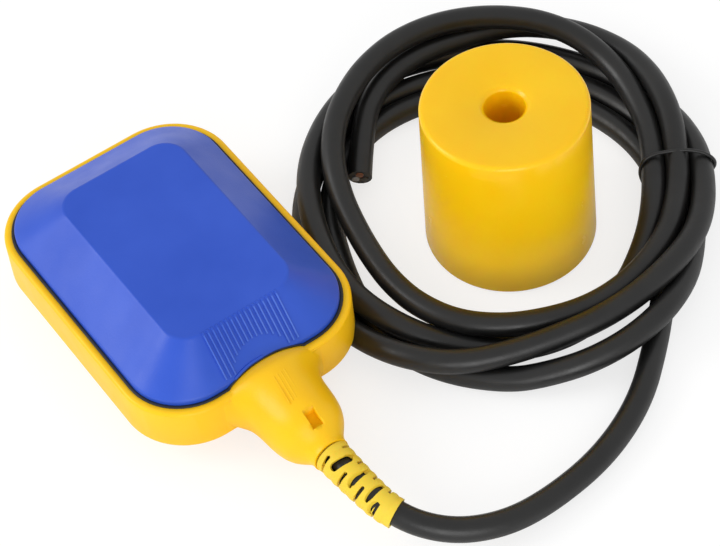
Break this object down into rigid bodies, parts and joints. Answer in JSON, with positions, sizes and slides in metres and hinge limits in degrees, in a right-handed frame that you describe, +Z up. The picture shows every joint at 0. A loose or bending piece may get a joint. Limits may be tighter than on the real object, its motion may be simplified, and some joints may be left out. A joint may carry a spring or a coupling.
{
  "type": "float level switch",
  "caption": "Tilt-operated float level switch: two-part float with a rolling-ball switch inside, strain-relieved rubber cable in a loose coil, and a cylindrical counterweight.",
  "frame": {"origin": "centre of the flat face on the underside of the float, on which it rests", "axes": "+Z up through the float, -Y the way the cable leaves, +X towards the coil and the counterweight"},
  "size_m": [0.2137, 0.1907, 0.0595],
  "materials": {
    "yellow_housing": "satin moulded polypropylene",
    "yellow_relief": "soft moulded, satin",
    "blue_cover": "satin moulded polypropylene",
    "seal_rubber": "matt",
    "cable_sheath": "satin extruded rubber",
    "tie_black": "matt",
    "orange_weight": "glossy moulded",
    "white_nylon": "moulded nylon",
    "screw_steel": "zinc plated",
    "ball_steel": "polished bearing ball",
    "lever_steel": "pressed steel",
    "black_case": "moulded thermoset",
    "red_button": "moulded",
    "contact_brass": "bright",
    "core_brown": "core insulation",
    "core_black": "core insulation",
    "core_grey": "core insulation"
  },
  "bodies": {
    "root": {"housing": "yellow_housing", "strain_relief": "yellow_relief", "cover": "blue_cover", "seal_ring": "seal_rubber", "gland": "seal_rubber", "gland_washer": "white_nylon", "cable_lead": "cable_sheath", "cable_coil": "cable_sheath", "cable_tail": "cable_sheath", "coil_tie": "tie_black", "counterweight": "orange_weight", "carrier": "white_nylon", "chamber_cap": "white_nylon", "carrier_screws": "screw_steel", "lever_pin": "lever_steel", "switch_case": "black_case", "switch_lid": "black_case", "contact_blade": "contact_brass", "crimps": "contact_brass", "terminal_closed": "contact_brass", "terminal_common": "contact_brass", "terminal_open": "contact_brass", "core_brown": "core_brown", "core_black": "core_black", "core_grey": "core_grey", "tail_core_1": "core_brown", "tail_core_2": "core_black", "tail_core_3": "core_grey"},
    "ball": {"ball": "ball_steel"},
    "lever": {"lever": "lever_steel"},
    "button": {"switch_button": "red_button"}
  },
  "joints": [
    {"name": "ball_roll", "type": "slide", "parent": "root", "child": "ball", "axis": [0, 1, 0], "range_m": [0, 0.018]},
    {"name": "lever_swing", "type": "hinge", "parent": "root", "child": "lever", "pos_m": [0, -0.024, 0.0194], "axis": [-1, 0, 0], "range_deg": [0, 2]},
    {"name": "button_press", "type": "slide", "parent": "root", "child": "button", "axis": [0, 0, -1], "range_m": [0, 0.00147], "stiffness_N_per_m": 20}
  ],
  "couplings": [
    {"joint": "lever_swing", "follows": "ball_roll", "rad_per_m": 1.9392},
    {"joint": "button_press", "follows": "ball_roll", "ratio": 0.08148}
  ]
}
